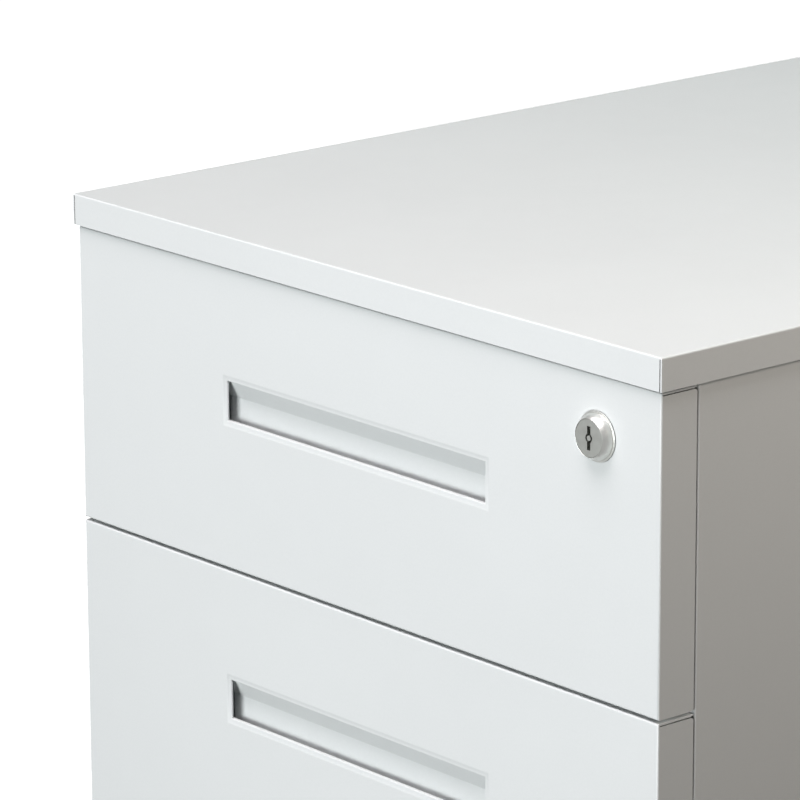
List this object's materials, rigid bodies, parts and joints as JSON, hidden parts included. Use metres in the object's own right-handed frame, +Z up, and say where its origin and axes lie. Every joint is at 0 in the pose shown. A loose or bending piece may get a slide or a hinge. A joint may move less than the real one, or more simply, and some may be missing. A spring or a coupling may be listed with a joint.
{
  "type": "filing cabinet",
  "caption": "Sheet-steel drawer pedestal on swivel castors: shallow drawers over a deep file drawer, recessed finger pulls, telescopic slides, and a key lock with a lifting lock bar.",
  "frame": {"origin": "on the floor, under the middle of the cabinet's bounding box", "axes": "+X to the right as seen from the front, +Y towards the back, +Z up; the drawers open towards -Y"},
  "size_m": [0.39, 0.5034, 0.62],
  "materials": {
    "white_powder_coat": "fine satin powder coat",
    "galvanised_steel": "bright zinc plate",
    "satin_nickel": "satin nickel plate",
    "black_steel": "black electro coat",
    "black_rubber": "matte"
  },
  "bodies": {
    "cabinet": {"top_panel": "white_powder_coat", "side_panel_left": "white_powder_coat", "side_panel_right": "white_powder_coat", "back_panel": "white_powder_coat", "base_panel": "white_powder_coat", "front_top_rail": "white_powder_coat", "slide_1_left_cabinet_member": "galvanised_steel", "slide_1_right_cabinet_member": "galvanised_steel", "slide_2_left_cabinet_member": "galvanised_steel", "slide_2_right_cabinet_member": "galvanised_steel", "slide_3_left_cabinet_member": "galvanised_steel", "slide_3_right_cabinet_member": "galvanised_steel", "castor_front_left_plate": "black_steel", "castor_front_right_plate": "black_steel", "castor_back_left_plate": "black_steel", "castor_back_right_plate": "black_steel"},
    "drawer_1": {"drawer_1_front": "white_powder_coat", "drawer_1_inner_panel": "white_powder_coat", "drawer_1_tray": "white_powder_coat", "drawer_1_pull_cup": "white_powder_coat", "slide_1_left_drawer_member": "galvanised_steel", "slide_1_right_drawer_member": "galvanised_steel", "lock_housing": "satin_nickel", "lock_nut": "galvanised_steel"},
    "drawer_2": {"drawer_2_front": "white_powder_coat", "drawer_2_inner_panel": "white_powder_coat", "drawer_2_tray": "white_powder_coat", "drawer_2_pull_cup": "white_powder_coat", "slide_2_left_drawer_member": "galvanised_steel", "slide_2_right_drawer_member": "galvanised_steel"},
    "drawer_3": {"drawer_3_front": "white_powder_coat", "drawer_3_inner_panel": "white_powder_coat", "drawer_3_tray": "white_powder_coat", "drawer_3_pull_cup": "white_powder_coat", "slide_3_left_drawer_member": "galvanised_steel", "slide_3_right_drawer_member": "galvanised_steel", "file_rail_left": "galvanised_steel", "file_rail_right": "galvanised_steel"},
    "slide_1_middle": {"slide_1_left_middle_member": "galvanised_steel", "slide_1_right_middle_member": "galvanised_steel"},
    "slide_2_middle": {"slide_2_left_middle_member": "galvanised_steel", "slide_2_right_middle_member": "galvanised_steel"},
    "slide_3_middle": {"slide_3_left_middle_member": "galvanised_steel", "slide_3_right_middle_member": "galvanised_steel"},
    "lock": {"lock_plug": "satin_nickel", "lock_cam": "galvanised_steel"},
    "lock_bar": {"lock_bar": "galvanised_steel"},
    "castor_front_left_swivel": {"castor_front_left_fork": "black_steel", "castor_front_left_axle": "galvanised_steel"},
    "castor_front_left_roller": {"castor_front_left_wheel": "black_rubber"},
    "castor_front_right_swivel": {"castor_front_right_fork": "black_steel", "castor_front_right_axle": "galvanised_steel"},
    "castor_front_right_roller": {"castor_front_right_wheel": "black_rubber"},
    "castor_back_left_swivel": {"castor_back_left_fork": "black_steel", "castor_back_left_axle": "galvanised_steel"},
    "castor_back_left_roller": {"castor_back_left_wheel": "black_rubber"},
    "castor_back_right_swivel": {"castor_back_right_fork": "black_steel", "castor_back_right_axle": "galvanised_steel"},
    "castor_back_right_roller": {"castor_back_right_wheel": "black_rubber"}
  },
  "joints": [
    {"name": "drawer_1_slide", "type": "slide", "parent": "cabinet", "child": "drawer_1", "axis": [0, -1, 0], "range_m": [0, 0.42]},
    {"name": "drawer_2_slide", "type": "slide", "parent": "cabinet", "child": "drawer_2", "axis": [0, -1, 0], "range_m": [0, 0.42]},
    {"name": "drawer_3_slide", "type": "slide", "parent": "cabinet", "child": "drawer_3", "axis": [0, -1, 0], "range_m": [0, 0.42]},
    {"name": "slide_1_middle_travel", "type": "slide", "parent": "cabinet", "child": "slide_1_middle", "axis": [0, -1, 0], "range_m": [0, 0.21]},
    {"name": "slide_2_middle_travel", "type": "slide", "parent": "cabinet", "child": "slide_2_middle", "axis": [0, -1, 0], "range_m": [0, 0.21]},
    {"name": "slide_3_middle_travel", "type": "slide", "parent": "cabinet", "child": "slide_3_middle", "axis": [0, -1, 0], "range_m": [0, 0.21]},
    {"name": "lock_turn", "type": "hinge", "parent": "drawer_1", "child": "lock", "pos_m": [0.1558, -0.2467, 0.579], "axis": [0, -1, 0], "range_deg": [0, 90]},
    {"name": "lock_bar_rise", "type": "slide", "parent": "cabinet", "child": "lock_bar", "axis": [0, 0, 1], "range_m": [0, 0.008]},
    {"name": "castor_front_left_swivel_turn", "type": "hinge", "parent": "cabinet", "child": "castor_front_left_swivel", "pos_m": [-0.14, -0.1863, 0.0666], "axis": [0, 0, 1], "continuous": true},
    {"name": "castor_front_left_wheel_turn", "type": "hinge", "parent": "castor_front_left_swivel", "child": "castor_front_left_roller", "pos_m": [-0.14, -0.1683, 0.02484], "axis": [1, 0, 0], "continuous": true},
    {"name": "castor_front_right_swivel_turn", "type": "hinge", "parent": "cabinet", "child": "castor_front_right_swivel", "pos_m": [0.14, -0.1863, 0.0666], "axis": [0, 0, 1], "continuous": true},
    {"name": "castor_front_right_wheel_turn", "type": "hinge", "parent": "castor_front_right_swivel", "child": "castor_front_right_roller", "pos_m": [0.14, -0.1683, 0.02484], "axis": [1, 0, 0], "continuous": true},
    {"name": "castor_back_left_swivel_turn", "type": "hinge", "parent": "cabinet", "child": "castor_back_left_swivel", "pos_m": [-0.14, 0.1897, 0.0666], "axis": [0, 0, 1], "continuous": true},
    {"name": "castor_back_left_wheel_turn", "type": "hinge", "parent": "castor_back_left_swivel", "child": "castor_back_left_roller", "pos_m": [-0.14, 0.2077, 0.02484], "axis": [1, 0, 0], "continuous": true},
    {"name": "castor_back_right_swivel_turn", "type": "hinge", "parent": "cabinet", "child": "castor_back_right_swivel", "pos_m": [0.14, 0.1897, 0.0666], "axis": [0, 0, 1], "continuous": true},
    {"name": "castor_back_right_wheel_turn", "type": "hinge", "parent": "castor_back_right_swivel", "child": "castor_back_right_roller", "pos_m": [0.14, 0.2077, 0.02484], "axis": [1, 0, 0], "continuous": true}
  ],
  "couplings": [
    {"joint": "slide_1_middle_travel", "follows": "drawer_1_slide", "ratio": 0.5},
    {"joint": "slide_2_middle_travel", "follows": "drawer_2_slide", "ratio": 0.5},
    {"joint": "slide_3_middle_travel", "follows": "drawer_3_slide", "ratio": 0.5},
    {"joint": "lock_turn", "follows": "lock_bar_rise", "rad_per_m": 196.35}
  ]
}
